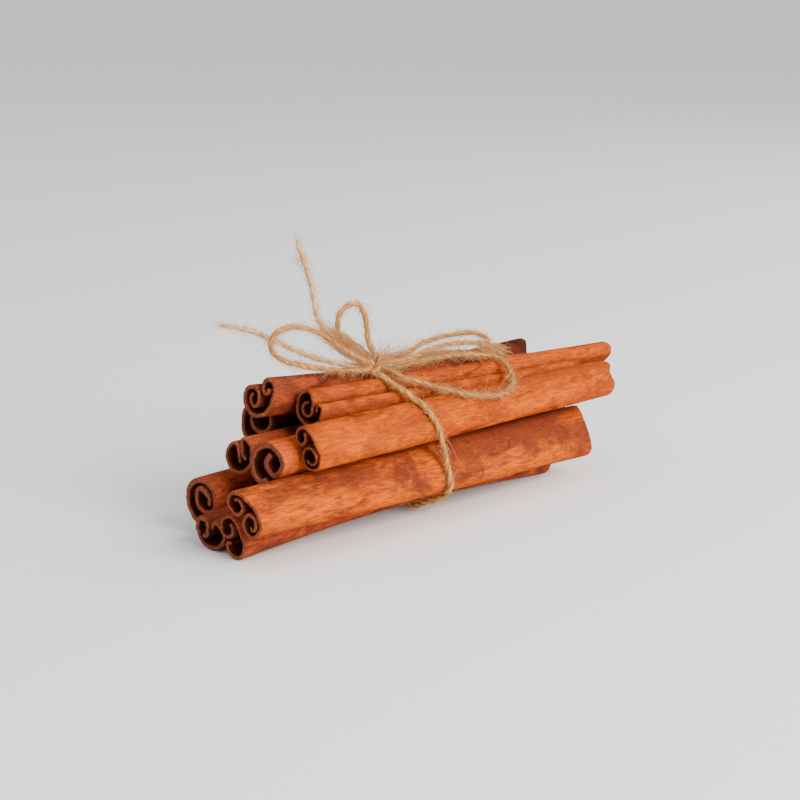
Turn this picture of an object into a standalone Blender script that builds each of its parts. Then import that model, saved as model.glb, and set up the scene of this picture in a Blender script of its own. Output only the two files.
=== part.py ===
"""A bundle of ten cinnamon sticks, tied round the middle with jute twine in a bow.

Each stick is one strip of bark whose two long edges have curled inwards. Its section is a chain of
arcs, and the stick is that section carried along a slightly arched axis. The sticks run along X,
the viewer's side is -Y, and the lowest sticks rest on Z = 0. Lengths here are in millimetres until
the meshes are made, and angles are in degrees.
"""

import math

import bpy
from mathutils import Vector

MM = 0.001

# Bark
ARC_STEP = 20.0          # widest turn of a bark segment, in degrees
STATIONS = 5             # sections along one stick
LIP = 0.25               # how far the rounded bark edge stands out, in wall thicknesses
SHARP_ANGLE = 40.0       # faces that meet at more than this are shaded with an edge between them

# Each stick: centre of its left and right end, wall thickness, first heading of the section, arch
# of the axis, growth of the section towards the right end, and arcs as (radius, turn).
STICKS = {
    "stick_top_back": dict(
        left=(-43.4, 2.3, 28.5), right=(46.0, 4.3, 21.1), wall=1.0, heading=-22, arch=0.0, growth=-0.15,
        arcs=[(1.35, -209), (2.1, -211), (3.4, -144), (6.8, -48), (1.5, -225), (0.75, -144)]),
    "stick_upper_back": dict(
        left=(-36.8, 10.1, 21.6), right=(50.8, 15.4, 20.8), wall=1.1, heading=41, arch=0.0, growth=0.0,
        arcs=[(2.8, 26), (5.1, 93), (3.5, 132), (2.75, 126), (2.3, 54), (1.85, 39)]),
    "stick_top_front": dict(
        left=(-37.3, -5.7, 26.35), right=(61.0, -3.2, 21.85), wall=0.85, heading=9, arch=0.0, growth=0.0,
        arcs=[(1.4, -270), (9.0, -17), (1.5, -101), (3.5, -255), (0.75, -172), (5.4, -7)]),
    "stick_middle_back": dict(
        left=(-48.2, 3.2, 17.2), right=(44.4, 10.1, 15.3), wall=0.9, heading=93, arch=0.0, growth=0.0,
        arcs=[(9.0, -21), (0.75, -87), (2.95, -172), (3.75, -138), (0.75, -128), (9.0, -14), (1.5, -55)]),
    "stick_middle": dict(
        left=(-49.0, -5.7, 17.1), right=(46.2, 0.1, 13.6), wall=1.5, heading=-48, arch=0.0, growth=0.0,
        arcs=[(1.6, 86), (4.05, 177), (5.6, 12), (2.65, 118), (1.1, 28), (2.2, 135)]),
    "stick_upper_front": dict(
        left=(-44.7, -12.8, 20.6), right=(50.8, -11.7, 19.9), wall=0.8, heading=-135, arch=0.0, growth=-0.13,
        arcs=[(1.4, 235), (2.25, 116), (9.1, 35), (2.5, 198), (1.95, 185), (1.35, 148)]),
    "stick_lower_back": dict(
        left=(-52.4, 10.2, 7.3), right=(41.0, 15.4, 8.2), wall=1.25, heading=25, arch=0.0, growth=0.0,
        arcs=[(5.35, 58), (3.9, 207), (1.5, 43), (2.85, 149), (1.05, 64), (2.35, 103)]),
    "stick_bottom_back": dict(
        left=(-57.9, 1.6, 3.3), right=(38.9, 1.3, 3.3), wall=1.1, heading=199, arch=2.0, growth=0.0,
        arcs=[(0.75, -101), (4.05, -19), (1.6, -179), (4.4, -103), (2.7, -127), (1.15, -121)]),
    "stick_bottom_front": dict(
        left=(-59.4, -6.6, 4.45), right=(34.0, -7.2, 4.45), wall=0.9, heading=-173, arch=2.0, growth=0.0,
        arcs=[(1.0, 111), (1.85, 154), (2.3, 135), (9.0, 32), (2.4, 179), (0.75, 131)]),
    "stick_lower_front": dict(
        left=(-62.4, -13.3, 10.9), right=(38.6, -13.1, 9.6), wall=0.9, heading=-224, arch=0.0, growth=0.155,
        arcs=[(1.5, 205), (2.15, 213), (9.3, 46), (2.4, 218), (1.75, 201), (0.75, 133)]),
}

# Twine: the wrap that holds the sticks, the knot on top, and the bow's loops and loose ends, whose
# routes start at the knot. A loop comes back to it.
WRAP_DIAMETER = 1.3
WRAP_GAP = 0.35          # between the twine's side and the bark
WRAP_X = -8.8            # where the wrap passes under the bundle
WRAP_LEAN = 7.0          # how far it leans to the left by the time it is WRAP_HEIGHT up
WRAP_HEIGHT = 29.6
WRAP_STEP = 2.2          # between points along the wrap
RIM_POINTS = 16          # points of the circle drawn round each bark point to find the wrap's line
KNOT_CENTRE = (-15.8, -2.8, 31.7)
KNOT_HALF = (2.8, 2.0, 1.8)
KNOT_RINGS = 8
KNOT_SIDES = 14
CORD_STEP = 2.4          # between points along a loop or a loose end, in diameters
CORDS = {
    "loop_right": dict(diameter=1.1, route=[
        (-13.2, -4.6, 30.9), (-12.3, -7.5, 29.3), (-7.9, -8.9, 27.7), (-4.2, -11.1, 26.2),
        (-0.8, -13.7, 24.9), (4.5, -14.7, 23.6), (8.8, -15.2, 22.9), (12.5, -15.1, 22.9),
        (15.9, -14.2, 23.9), (18.1, -12.3, 25.2), (21.4, -8.1, 26.2), (21.7, -6.5, 27.4),
        (20.5, -5.4, 28.7), (17.0, -3.8, 29.3), (11.3, -3.0, 30.1), (5.2, -2.6, 30.2),
        (-0.9, -2.4, 30.1), (-6.8, -2.1, 30.0), (-12.5, -2.8, 30.5)]),
    "loop_right_upper": dict(diameter=1.0, route=[
        (-13.2, -2.6, 33.1), (-7.3, -2.0, 31.6), (-1.8, -1.2, 33.0), (4.1, -0.4, 33.8),
        (10.1, 0.0, 33.9), (16.2, 0.8, 33.5), (20.6, 1.1, 33.0), (23.6, 0.9, 32.0),
        (24.9, 0.2, 30.4), (23.6, -0.8, 28.9), (20.4, -1.6, 28.6), (16.0, -2.0, 29.3),
        (11.2, -1.6, 30.5), (5.5, -1.2, 30.9), (-0.4, -0.8, 30.6), (-12.8, -1.2, 32.0)]),
    "tail_right": dict(diameter=1.0, route=[
        (-12.9, -4.0, 32.2), (-8.5, -4.2, 31.6), (-3.8, -4.2, 32.2), (0.3, -4.2, 32.9),
        (4.7, -4.2, 33.1), (9.1, -4.0, 32.9), (13.5, -3.9, 32.4), (17.4, -4.0, 31.5),
        (20.4, -4.3, 30.2), (22.9, -4.8, 28.6)]),
    "loop_left": dict(diameter=1.1, route=[
        (-18.3, -3.8, 32.8), (-24.0, -3.6, 35.5), (-27.8, -3.4, 38.2), (-32.2, -3.6, 40.9),
        (-37.4, -4.3, 42.8), (-42.2, -4.8, 43.5), (-45.8, -4.8, 42.8), (-46.7, -4.2, 40.4),
        (-44.5, -3.4, 37.8), (-40.6, -3.0, 35.9), (-36.1, -2.9, 34.5), (-31.6, -2.9, 33.2),
        (-27.0, -3.4, 32.4), (-18.7, -4.0, 31.0)]),
    "tail_up": dict(diameter=1.0, route=[
        (-18.4, -1.8, 32.8), (-21.7, -1.1, 35.2), (-24.6, -0.2, 38.0), (-27.5, 0.0, 40.5),
        (-29.0, 0.2, 43.3), (-29.4, 0.6, 46.6), (-29.9, 0.9, 49.9), (-30.8, 1.1, 53.2),
        (-32.1, 1.2, 56.2), (-33.5, 1.1, 59.0)]),
    "tail_left": dict(diameter=0.9, route=[
        (-19.3, -2.6, 31.6), (-24.5, -1.8, 33.0), (-29.3, -0.9, 34.4), (-34.4, -0.3, 36.5),
        (-39.0, 0.6, 39.0), (-43.5, 1.6, 41.3), (-47.9, 2.6, 43.2), (-52.0, 3.6, 44.1)]),
    "loop_up": dict(diameter=1.0, route=[
        (-17.0, -2.8, 34.0), (-21.8, -2.4, 36.0), (-24.4, -2.1, 38.0), (-25.7, -2.2, 40.1),
        (-25.7, -2.2, 42.6), (-24.1, -2.4, 44.6), (-21.5, -2.7, 45.6), (-18.8, -2.9, 44.4),
        (-18.0, -3.0, 41.4), (-17.6, -3.0, 38.7), (-17.5, -2.9, 36.1), (-15.2, -3.3, 34.0)]),
}

BARK_COLOUR = (0.52, 0.20, 0.075, 1.0)
BARK_ROUGHNESS = 0.72
TWINE_COLOUR = (0.62, 0.44, 0.26, 1.0)
TWINE_ROUGHNESS = 0.9


def section_line(stick):
    """Centre line of a bark section: (y, z, normal y, normal z) rows along the chain of arcs."""
    heading = math.radians(stick["heading"])
    y = 0.0
    z = 0.0
    rows = [(y, z, -math.sin(heading), math.cos(heading))]
    for radius, turn in stick["arcs"]:
        side = math.copysign(1.0, turn)
        centre_y = y - side * radius * math.sin(heading)
        centre_z = z + side * radius * math.cos(heading)
        steps = math.ceil(abs(turn) / ARC_STEP)
        start = heading
        for step in range(1, steps + 1):
            heading = start + math.radians(turn) * step / steps
            y = centre_y + side * radius * math.sin(heading)
            z = centre_z - side * radius * math.cos(heading)
            rows.append((y, z, -math.sin(heading), math.cos(heading)))
    return rows


def section_outline(stick):
    """Both faces of the bark as rows of points, with a rounded lip at each edge, box-centred."""
    rows = section_line(stick)
    half = stick["wall"] / 2
    upper = [(y + ny * half, z + nz * half) for y, z, ny, nz in rows]
    lower = [(y - ny * half, z - nz * half) for y, z, ny, nz in rows]
    first_y, first_z, first_ny, first_nz = rows[0]
    last_y, last_z, last_ny, last_nz = rows[-1]
    reach = LIP * stick["wall"]
    first_lip = (first_y - first_nz * reach, first_z + first_ny * reach)
    last_lip = (last_y + last_nz * reach, last_z - last_ny * reach)
    points = upper + lower + [first_lip, last_lip]
    middle_y = (max(p[0] for p in points) + min(p[0] for p in points)) / 2
    middle_z = (max(p[1] for p in points) + min(p[1] for p in points)) / 2

    def centred(row):
        return [(y - middle_y, z - middle_z) for y, z in row]

    return centred(upper), centred(lower), centred([first_lip])[0], centred([last_lip])[0]


def axis_point(stick, t):
    """Point on a stick's arched axis, t running from 0 at the left end to 1 at the right."""
    point = Vector(stick["left"]).lerp(Vector(stick["right"]), t)
    point.z += stick["arch"] * 4 * t * (1 - t)
    return point


def section_at(stick, t, points):
    """Section points placed at t along the stick, square to its axis."""
    axis = (Vector(stick["right"]) - Vector(stick["left"])).normalized()
    across = Vector((0, 0, 1)).cross(axis).normalized()
    upright = axis.cross(across)
    scale = 1 + stick["growth"] * t
    origin = axis_point(stick, t)
    return [origin + across * (y * scale) + upright * (z * scale) for y, z in points]


def add_object(name, vertices, faces, colour, roughness):
    """Mesh object from millimetre vertices, smooth except at its sharp edges, with its material."""
    mesh = bpy.data.meshes.new(name)
    mesh.from_pydata([tuple(vertex * MM) for vertex in vertices], [], faces)
    mesh.validate()
    mesh.shade_smooth()
    mesh.set_sharp_from_angle(angle=math.radians(SHARP_ANGLE))
    mesh.materials.append(make_material(name, colour, roughness))
    part = bpy.data.objects.new(name, mesh)
    bpy.context.scene.collection.objects.link(part)
    return part


def make_material(name, colour, roughness):
    """Plain Principled material of one colour."""
    material = bpy.data.materials.new(name)
    material.use_nodes = True
    shader = material.node_tree.nodes["Principled BSDF"]
    shader.inputs["Base Color"].default_value = colour
    shader.inputs["Roughness"].default_value = roughness
    shader.inputs["Metallic"].default_value = 0.0
    return material


def add_stick(name, stick):
    """The rolled bark: both faces of the strip, its two lips and its two cut ends."""
    upper, lower, first_lip, last_lip = section_outline(stick)
    count = len(upper)
    loop = upper + [last_lip] + lower[::-1] + [first_lip]
    size = len(loop)
    vertices = []
    for station in range(STATIONS):
        vertices += section_at(stick, station / (STATIONS - 1), loop)
    faces = []
    for station in range(STATIONS - 1):
        near = station * size
        far = near + size
        for i in range(size):
            j = (i + 1) % size
            faces.append((near + i, far + i, far + j, near + j))
    for start, reverse in ((0, False), ((STATIONS - 1) * size, True)):
        cap = [(count - 1, count, count + 1), (size - 2, size - 1, 0)]
        cap += [(i, i + 1, size - 3 - i, size - 2 - i) for i in range(count - 1)]
        for face in cap:
            ordered = face[::-1] if reverse else face
            faces.append(tuple(start + i for i in ordered))
    return add_object(name, vertices, faces, BARK_COLOUR, BARK_ROUGHNESS)


def wrap_x(height):
    """The wrap leans to the left near its top, where the knot pulls on it."""
    return WRAP_X - WRAP_LEAN * (height / WRAP_HEIGHT) ** 3


def convex_hull(points):
    """Counter-clockwise hull of (y, z) points, by sorted chains."""
    ordered = sorted(set(points))

    def chain(row):
        kept = []
        for point in row:
            while len(kept) > 1 and turn_of(kept[-2], kept[-1], point) <= 0:
                kept.pop()
            kept.append(point)
        return kept[:-1]

    return chain(ordered) + chain(ordered[::-1])


def turn_of(a, b, c):
    """Above 0 where the path from a by b to c turns to the left."""
    return (b[0] - a[0]) * (c[1] - a[1]) - (b[1] - a[1]) * (c[0] - a[0])


def wrap_route():
    """The taut line round all the sticks, from one side of the knot round to the other."""
    reach = WRAP_DIAMETER / 2 + WRAP_GAP
    rim = []
    for stick in STICKS.values():
        upper, lower, _, _ = section_outline(stick)
        left = Vector(stick["left"])
        right = Vector(stick["right"])
        t = (wrap_x(left.z) - left.x) / (right.x - left.x)
        for point in section_at(stick, t, upper + lower):
            for k in range(RIM_POINTS):
                angle = math.tau * k / RIM_POINTS
                rim.append((point.y + reach * math.cos(angle), point.z + reach * math.sin(angle)))
    hull = convex_hull(rim)
    closed = [Vector((wrap_x(z), y, z)) for y, z in hull + hull[:1]]
    even = resampled(closed, WRAP_STEP)[:-1]
    knot = Vector(KNOT_CENTRE)
    start = min(range(len(even)), key=lambda i: (even[i] - knot).length)
    turned = even[start:] + even[:start]
    return [point for point in turned if knot_distance(point) > 1 + reach / min(KNOT_HALF)]


def knot_distance(point):
    """1 on the knot's surface, more outside it."""
    offset = point - Vector(KNOT_CENTRE)
    return Vector((offset.x / KNOT_HALF[0], offset.y / KNOT_HALF[1], offset.z / KNOT_HALF[2])).length


def resampled(points, step):
    """The same line with points a fixed step apart, its two ends kept."""
    lengths = [0.0]
    for before, after in zip(points, points[1:]):
        lengths.append(lengths[-1] + (after - before).length)
    count = max(2, round(lengths[-1] / step))
    even = []
    i = 0
    for k in range(count + 1):
        target = lengths[-1] * k / count
        while i < len(points) - 2 and lengths[i + 1] < target:
            i += 1
        span = lengths[i + 1] - lengths[i]
        even.append(points[i].lerp(points[i + 1], (target - lengths[i]) / span))
    return even


def smooth_route(route, pieces=8):
    """Cubic B-spline through the first and last point and close by the others."""
    points = [Vector(point) for point in route]
    first = 2 * points[0] - points[1]
    last = 2 * points[-1] - points[-2]
    control = [first] + points + [last]
    curve = []
    for a, b, c, d in zip(control, control[1:], control[2:], control[3:]):
        for k in range(pieces):
            t = k / pieces
            curve.append((a * (1 - t) ** 3 + b * (3 * t ** 3 - 6 * t ** 2 + 4)
                          + c * (-3 * t ** 3 + 3 * t ** 2 + 3 * t + 1) + d * t ** 3) / 6)
    return curve + [points[-1]]


def add_twine(name, points, diameter):
    """Round twine along points, with filled ends."""
    curve = bpy.data.curves.new(name, "CURVE")
    curve.dimensions = "3D"
    curve.bevel_depth = diameter / 2 * MM
    curve.bevel_resolution = 2
    curve.use_fill_caps = True
    line = curve.splines.new("POLY")
    line.points.add(len(points) - 1)
    for target, point in zip(line.points, points):
        target.co = (*(point * MM), 1.0)
    curve.materials.append(make_material(name, TWINE_COLOUR, TWINE_ROUGHNESS))
    part = bpy.data.objects.new(name, curve)
    bpy.context.scene.collection.objects.link(part)
    return part


def add_knot():
    """The overhand knot as one rounded lump, a ball of rings stretched to its three sizes."""
    centre = Vector(KNOT_CENTRE)
    half_x, half_y, half_z = KNOT_HALF
    vertices = [centre - Vector((0, 0, half_z))]
    for ring in range(1, KNOT_RINGS):
        tilt = math.pi * ring / KNOT_RINGS
        for side in range(KNOT_SIDES):
            turn = math.tau * side / KNOT_SIDES
            vertices.append(centre + Vector((half_x * math.sin(tilt) * math.cos(turn),
                                             half_y * math.sin(tilt) * math.sin(turn),
                                             -half_z * math.cos(tilt))))
    vertices.append(centre + Vector((0, 0, half_z)))
    top = len(vertices) - 1
    faces = []
    for side in range(KNOT_SIDES):
        after = (side + 1) % KNOT_SIDES
        faces.append((0, 1 + after, 1 + side))
        for ring in range(KNOT_RINGS - 2):
            low = 1 + ring * KNOT_SIDES
            high = low + KNOT_SIDES
            faces.append((low + side, low + after, high + after, high + side))
        last = 1 + (KNOT_RINGS - 2) * KNOT_SIDES
        faces.append((last + side, last + after, top))
    return add_object("knot", vertices, faces, TWINE_COLOUR, TWINE_ROUGHNESS)


def main():
    for old in list(bpy.data.objects):
        bpy.data.objects.remove(old)
    for name, stick in STICKS.items():
        add_stick(name, stick)
    add_twine("wrap", wrap_route(), WRAP_DIAMETER)
    add_knot()
    for name, cord in CORDS.items():
        route = resampled(smooth_route(cord["route"]), CORD_STEP * cord["diameter"])
        add_twine(name, route, cord["diameter"])


main()
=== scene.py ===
"""Ten rolled cinnamon sticks, tied round the middle with jute twine in a bow.

Each stick is a sheet of bark, rolled in from both long edges: its section is a chain of arcs, and the
skin is that section carried along the stick, with the wrinkles, dents and chipped ends of dried bark.
The twine is two plies twisted together, carried along its route, with loose jute fibres standing off
it. Shapes are worked out in millimetres and turned into metres when a mesh is made.
"""
import math

import bpy
import numpy as np
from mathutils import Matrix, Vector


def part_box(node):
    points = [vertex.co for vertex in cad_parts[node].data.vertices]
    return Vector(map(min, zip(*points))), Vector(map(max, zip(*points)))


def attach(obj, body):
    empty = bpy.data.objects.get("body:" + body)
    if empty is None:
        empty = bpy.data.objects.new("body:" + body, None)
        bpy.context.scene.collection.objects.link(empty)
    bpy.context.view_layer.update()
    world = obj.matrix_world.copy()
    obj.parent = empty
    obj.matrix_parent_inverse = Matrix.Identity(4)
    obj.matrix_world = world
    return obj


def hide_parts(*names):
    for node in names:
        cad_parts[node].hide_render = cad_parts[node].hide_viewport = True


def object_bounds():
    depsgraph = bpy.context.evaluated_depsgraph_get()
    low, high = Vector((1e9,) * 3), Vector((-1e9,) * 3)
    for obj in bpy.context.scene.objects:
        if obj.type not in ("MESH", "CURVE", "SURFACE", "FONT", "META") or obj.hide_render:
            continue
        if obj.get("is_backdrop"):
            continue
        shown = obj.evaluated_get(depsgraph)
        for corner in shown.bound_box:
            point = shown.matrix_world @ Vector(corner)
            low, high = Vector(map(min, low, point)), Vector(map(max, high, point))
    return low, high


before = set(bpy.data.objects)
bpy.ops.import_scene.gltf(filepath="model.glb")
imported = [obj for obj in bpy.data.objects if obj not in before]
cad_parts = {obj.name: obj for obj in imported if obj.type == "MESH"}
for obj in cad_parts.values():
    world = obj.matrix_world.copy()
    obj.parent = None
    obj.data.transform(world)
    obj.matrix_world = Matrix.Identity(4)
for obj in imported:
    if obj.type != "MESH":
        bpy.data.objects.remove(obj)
cad_low, cad_high = (np.array(corner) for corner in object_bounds())

MM = 0.001

# Camera: where it aims, measured in millimetres from the middle of the CAD box, and how it looks there.
AIM_OFFSET = np.array([-7.46, -3.27, -6.57])
CAMERA_AZIMUTH = 47.0
CAMERA_ELEVATION = 12.5
CAMERA_DISTANCE = 440.0
CAMERA_LENS = 94.05

# How finely a stick's skin is divided. Lengths here and below are in millimetres.
ARC_TURN = 9.0           # widest turn between two points of a section, degrees
ARC_LENGTH = 0.42        # widest gap between two points of a section
STATION_GAP = 0.5        # between sections along a stick
END_STATIONS = np.array([0, 0.07, 0.16, 0.3, 0.5, 0.75])    # the closer sections next to each end
LIP_POINTS = 3           # extra points round each long edge of the bark
RIM_LOSS = 0.14          # how much thinner each side of the wall is at a cut
RIM_WIDTH = 0.25         # how far in from the cut it is thinned

# The twine
PITCH = 5.2              # length of twine in which its two plies turn once
GROOVE = 0.2             # depth of the groove between plies, in radii
RING_SIDES = 26          # points round the twine
RING_GAP = 0.26          # between rings of points along the twine
FIBRE_SIDES = 3          # points round a loose fibre
TUCK = 0.6               # share of the way to the knot's middle that a cord's route runs on
WRAP_DIAMETER = 1.3
WRAP_GAP = 0.12          # between the wrap's full radius and the bark
KNOT_TWINE = 1.2         # diameter of the knot's twine

LATTICE = 64             # steps after which a noise repeats


# ---------------------------------------------------------------- small tools

def lattice_noise(u, v, seed, around=LATTICE):
    """Smooth random values from 0 to 1: the four lattice values round (u, v), mixed by eased fractions.

    u repeats after around steps, so a pattern can close round a profile."""
    table = np.random.default_rng(seed).random((around, LATTICE))
    column = np.floor(u).astype(int)
    row = np.floor(v).astype(int)
    across = ease(u - column)
    along = ease(v - row)
    here, ahead = column % around, (column + 1) % around
    low, high = row % LATTICE, (row + 1) % LATTICE
    near = table[here, low] * (1 - across) + table[ahead, low] * across
    far = table[here, high] * (1 - across) + table[ahead, high] * across
    return near * (1 - along) + far * along


def swing(u, v, seed, around=LATTICE):
    """The same noise from -1 to 1."""
    return 2 * lattice_noise(u, v, seed, around) - 1


def unit(vectors):
    """Vectors scaled to length 1."""
    return vectors / np.linalg.norm(vectors, axis=-1, keepdims=True)


def ease(x):
    """0 below 0, 1 above 1, and a smooth rise between: 3x^2 - 2x^3."""
    x = np.clip(x, 0, 1)
    return x * x * (3 - 2 * x)


def hill(x, middle, width):
    """1 at the middle, falling away on both sides: e to the power -((x - middle) / width)^2."""
    return np.exp(-((x - middle) / width) ** 2)


def make_piece(name, points, faces, finish, attributes=()):
    """A mesh object at the origin from millimetre points and faces of four or three corners."""
    mesh = bpy.data.meshes.new(name)
    mesh.from_pydata((points * MM).tolist(), [], faces)
    for label, kind, values in attributes:
        layer = mesh.attributes.new(label, kind, "POINT")
        layer.data.foreach_set("vector" if kind == "FLOAT_VECTOR" else "value", np.ravel(values))
    mesh.polygons.foreach_set("use_smooth", np.ones(len(mesh.polygons), bool))
    mesh.materials.append(finish)
    mesh.validate()
    mesh.update()
    piece = bpy.data.objects.new(name, mesh)
    bpy.context.scene.collection.objects.link(piece)
    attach(piece, "root")
    return piece


# ---------------------------------------------------------------- materials

class Nodes:
    """A short way to write a node tree: each call adds a node and returns its main output."""

    def __init__(self, name):
        self.material = bpy.data.materials.new(name)
        self.material.use_nodes = True
        self.tree = self.material.node_tree
        self.shader = self.tree.nodes["Principled BSDF"]

    def add(self, kind, inputs=(), **settings):
        node = self.tree.nodes.new(kind)
        for key, value in settings.items():
            setattr(node, key, value)
        for key, value in dict(inputs).items():
            if isinstance(value, bpy.types.NodeSocket):
                self.tree.links.new(value, node.inputs[key])
            else:
                node.inputs[key].default_value = value
        return node

    def attribute(self, label, output="Vector"):
        return self.add("ShaderNodeAttribute", attribute_name=label).outputs[output]

    def stretched(self, vector, scale):
        return self.add("ShaderNodeMapping", {"Vector": vector, "Scale": scale}).outputs["Vector"]

    def noise(self, vector, detail, rough, distortion=0.0):
        inputs = {"Vector": vector, "Scale": 1.0, "Detail": detail, "Roughness": rough,
                  "Distortion": distortion}
        return self.add("ShaderNodeTexNoise", inputs).outputs["Fac"]

    def span(self, value, low, high):
        """0 at low and 1 at high, with a smooth rise between; low may be the greater."""
        inputs = {"Value": value, "From Min": low, "From Max": high}
        return self.add("ShaderNodeMapRange", inputs, interpolation_type="SMOOTHSTEP").outputs["Result"]

    def math(self, operation, a, b):
        return self.add("ShaderNodeMath", {0: a, 1: b}, operation=operation).outputs[0]

    def scaled(self, value, factor):
        return self.math("MULTIPLY", value, factor)

    def mix(self, amount, a, b, blend="MIX"):
        node = self.add("ShaderNodeMix", {0: amount, 6: a, 7: b}, data_type="RGBA", blend_type=blend)
        return node.outputs[2]

    def link(self, value, socket):
        self.tree.links.new(value, self.shader.inputs[socket])

    def gloss(self, roughness, specular):
        """The shine, the same all over, on the shader's own sockets."""
        self.shader.inputs["Roughness"].default_value = roughness
        self.shader.inputs["Specular IOR Level"].default_value = specular

    def relief(self, height, strength, distance):
        """Fine relief from a height, at most the distance deep, in metres."""
        bump = self.add("ShaderNodeBump", {"Height": height, "Strength": strength, "Distance": distance})
        self.link(bump.outputs["Normal"], "Normal")


# Colours are linear red, green and blue, and 1 for solid.
# Painted shade for the bark's creases.
BARK_CREASE_SHADE = (0.06, 0.013, 0.005, 1)
# The inner face of the bark: darker bark, taken down to nearly black by painted shade.
BARK_INNER_AND_SHADE = ((0.035, 0.007, 0.003, 1), (0.10, 0.020, 0.007, 1))
BARK_FLESH = ((0.11, 0.029, 0.016, 1), (0.34, 0.092, 0.042, 1))
FINE_TINT = ((0.62, 0.55, 0.6, 1), (1.09, 1.14, 1.0, 1))
SPECK_TINT = ((0.68, 0.63, 0.66, 1), (1.06, 1.09, 1.0, 1))

JUTE = ((0.92, 0.47, 0.13, 1), (0.36, 0.155, 0.05, 1))
PALE_JUTE = ((1.0, 0.64, 0.31, 1), (0.85, 0.51, 0.24, 1))
JUTE_PATCH = (0.27, 0.115, 0.042, 1)
# Painted shade for the grooves between the plies.
JUTE_GROOVE_SHADE = (0.13, 0.05, 0.018, 1)
JUTE_FIBRE = ((0.36, 0.165, 0.065, 1), (0.80, 0.42, 0.16, 1))

FLOOR_WHITE = (0.93, 0.93, 0.93, 1)
SKY_WHITE = (0.93, 0.97, 1.0, 1)
SKY_STRENGTH = 0.9

# Light, middle and dark colour of each kind of bark, and of one copy with painted light.
TONES = {
    "bright": ((0.69, 0.121, 0.002, 1), (0.55, 0.092, 0.004, 1), (0.34, 0.055, 0.012, 1)),
    # A paler copy of the orange bark with bluer darks: painted light for stick_middle, which lies in the
    # shade of stick_upper_front.
    "orange_with_painted_light": ((0.77, 0.134, 0.018, 1), (0.60, 0.104, 0.019, 1), (0.38, 0.067, 0.021, 1)),
    "orange": ((0.69, 0.120, 0.002, 1), (0.47, 0.076, 0.008, 1), (0.20, 0.039, 0.018, 1)),
    "warm": ((0.56, 0.092, 0.008, 1), (0.40, 0.068, 0.011, 1), (0.25, 0.047, 0.016, 1)),
    "russet": ((0.40, 0.078, 0.026, 1), (0.28, 0.055, 0.024, 1), (0.17, 0.037, 0.021, 1)),
    "brown": ((0.52, 0.090, 0.022, 1), (0.34, 0.060, 0.025, 1), (0.19, 0.040, 0.026, 1)),
    "dark": ((0.15, 0.032, 0.016, 1), (0.10, 0.022, 0.013, 1), (0.06, 0.014, 0.010, 1)),
}


def bark_finish(name, tone, seed):
    """Cinnamon bark: broad blotches, short streaks along the stick, specks, colour marks of staining with
    painted shade and painted light, painted shade in the creases, a darker inner face with painted shade
    that takes the inside of the roll to nearly black, and matte brown cut ends. The patterns follow
    bark_grain, which is the place round the section and the place along the stick."""
    n = Nodes(name)
    light, middle, dark = TONES[tone]
    grain = n.attribute("bark_grain")
    moved = n.add("ShaderNodeMapping", {"Vector": grain, "Location": (0, 0, seed)}).outputs["Vector"]
    broad = n.noise(n.stretched(moved, (0.10, 0.055, 1)), detail=3.0, rough=0.55, distortion=0.8)
    blotch = n.noise(n.stretched(moved, (0.34, 0.16, 1)), detail=4.0, rough=0.62, distortion=0.5)
    streak = n.noise(n.stretched(moved, (1.5, 0.20, 1)), detail=4.0, rough=0.68, distortion=0.3)
    fine = n.noise(n.stretched(moved, (2.6, 0.42, 1)), detail=4.0, rough=0.72, distortion=0.4)
    speck = n.noise(n.stretched(moved, (4.2, 3.0, 1)), detail=3.0, rough=0.7)

    colour = n.mix(n.span(broad, 0.40, 0.60), dark, middle)
    colour = n.mix(n.scaled(n.span(blotch, 0.42, 0.64), 0.8), colour, light)
    stain_and_painted_light = n.attribute("stain_and_painted_light", "Fac")
    # Paler where the marks are below zero and darker above: staining of the bark, and in places painted
    # shade and painted light.
    colour = n.mix(n.scaled(n.span(stain_and_painted_light, -0.05, -0.7), 0.85), colour, light)
    colour = n.mix(n.scaled(n.span(stain_and_painted_light, 0.05, 0.7), 0.85), colour, dark)
    colour = n.mix(n.scaled(n.span(streak, 0.55, 0.38), 0.65), colour, dark)
    for pattern, low, high, tint in ((fine, 0.36, 0.62, FINE_TINT), (speck, 0.34, 0.66, SPECK_TINT)):
        colour = n.mix(0.7, colour, n.mix(n.span(pattern, low, high), *tint), "MULTIPLY")
    # Painted shade in the creases.
    crease = n.attribute("crease", "Fac")
    colour = n.mix(n.scaled(crease, 0.7), colour, BARK_CREASE_SHADE)

    # The inner face is darker bark, and points deep in the roll get painted shade; both are taken down to
    # nearly black.
    inside = n.attribute("inside", "Fac")
    inner_bark_and_shade = n.mix(n.span(fine, 0.3, 0.7), *BARK_INNER_AND_SHADE)
    colour = n.mix(inside, colour, inner_bark_and_shade)
    cut = n.attribute("cut", "Fac")
    place = n.stretched(n.add("ShaderNodeTexCoord").outputs["Object"], (3600, 3600, 3600))
    flesh = n.mix(n.span(n.noise(place, detail=3.0, rough=0.7), 0.32, 0.68), *BARK_FLESH)
    colour = n.mix(cut, colour, flesh)
    n.link(colour, "Base Color")
    n.gloss(roughness=0.75, specular=0.01)
    height = n.math("ADD", n.scaled(fine, 0.8), n.scaled(speck, 0.6))
    n.relief(height, strength=0.85, distance=0.00014)
    return n.material


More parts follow.
